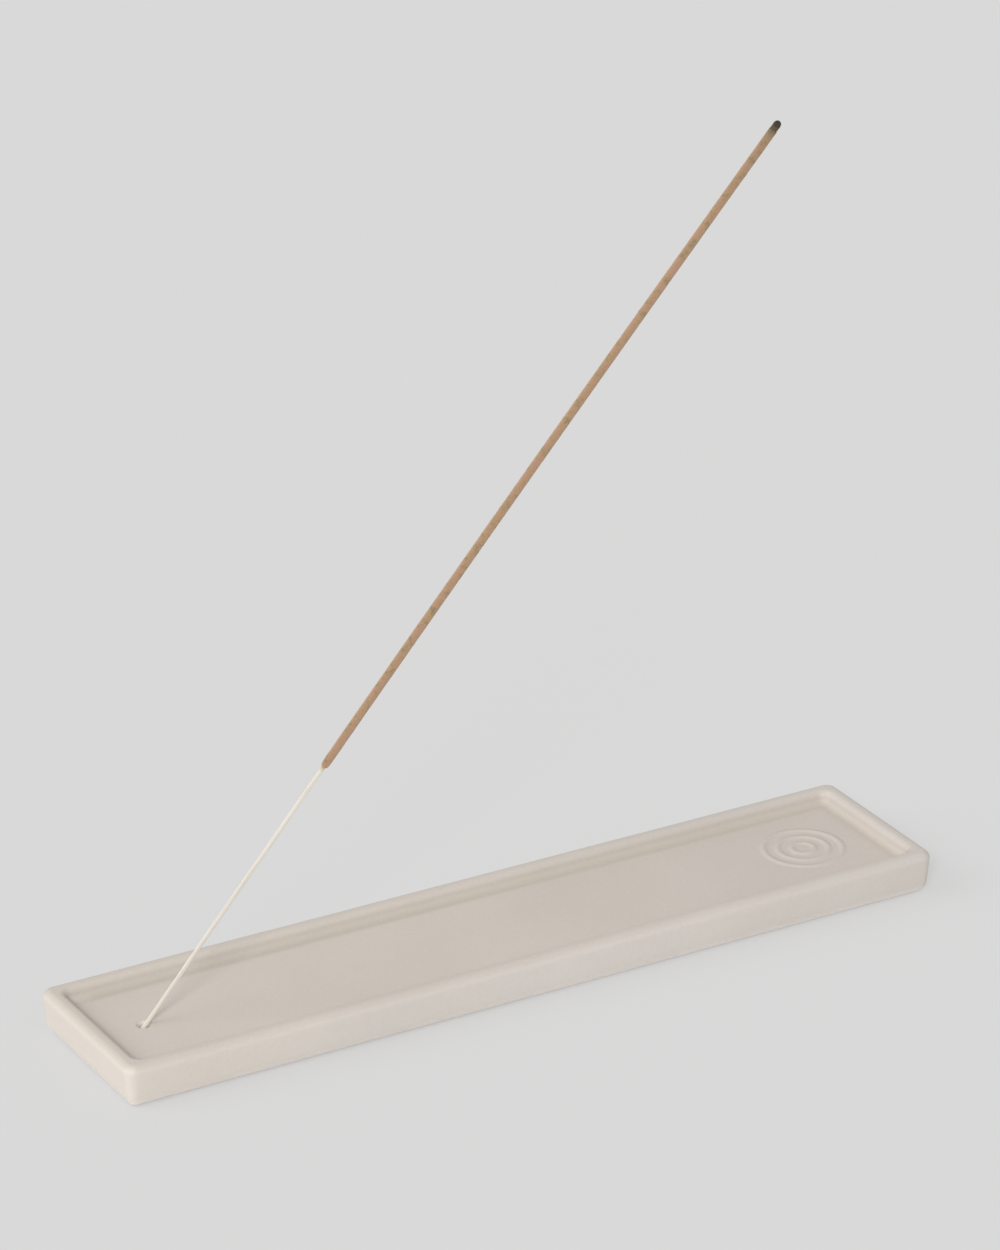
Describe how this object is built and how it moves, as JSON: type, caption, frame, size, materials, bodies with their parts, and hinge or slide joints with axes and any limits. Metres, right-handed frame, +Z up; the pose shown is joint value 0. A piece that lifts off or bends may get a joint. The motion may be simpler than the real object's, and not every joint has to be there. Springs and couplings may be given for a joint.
{
  "type": "incense holder",
  "caption": "Low rectangular ceramic tray whose slanted hole holds a bamboo-core incense stick leaning over a shallow well that catches the ash.",
  "frame": {"origin": "on the table, under the middle of the tray, in the plane of its foot ring", "axes": "+X along the tray, from the stick's hole to the ornament at the other end, +Y across the tray, +Z up"},
  "size_m": [0.28, 0.0592, 0.2527],
  "materials": {
    "glaze": "satin",
    "bamboo": "matte",
    "incense_paste": "matte",
    "char": "matte"
  },
  "bodies": {
    "tray": {"tray": "glaze"},
    "stick": {"bamboo_splint": "bamboo", "incense_coat": "incense_paste", "charred_tip": "char"}
  },
  "joints": [
    {"name": "stick_pull", "type": "slide", "parent": "tray", "child": "stick", "axis": [0.6534, 0, 0.757], "range_m": [0, 0.04]}
  ]
}
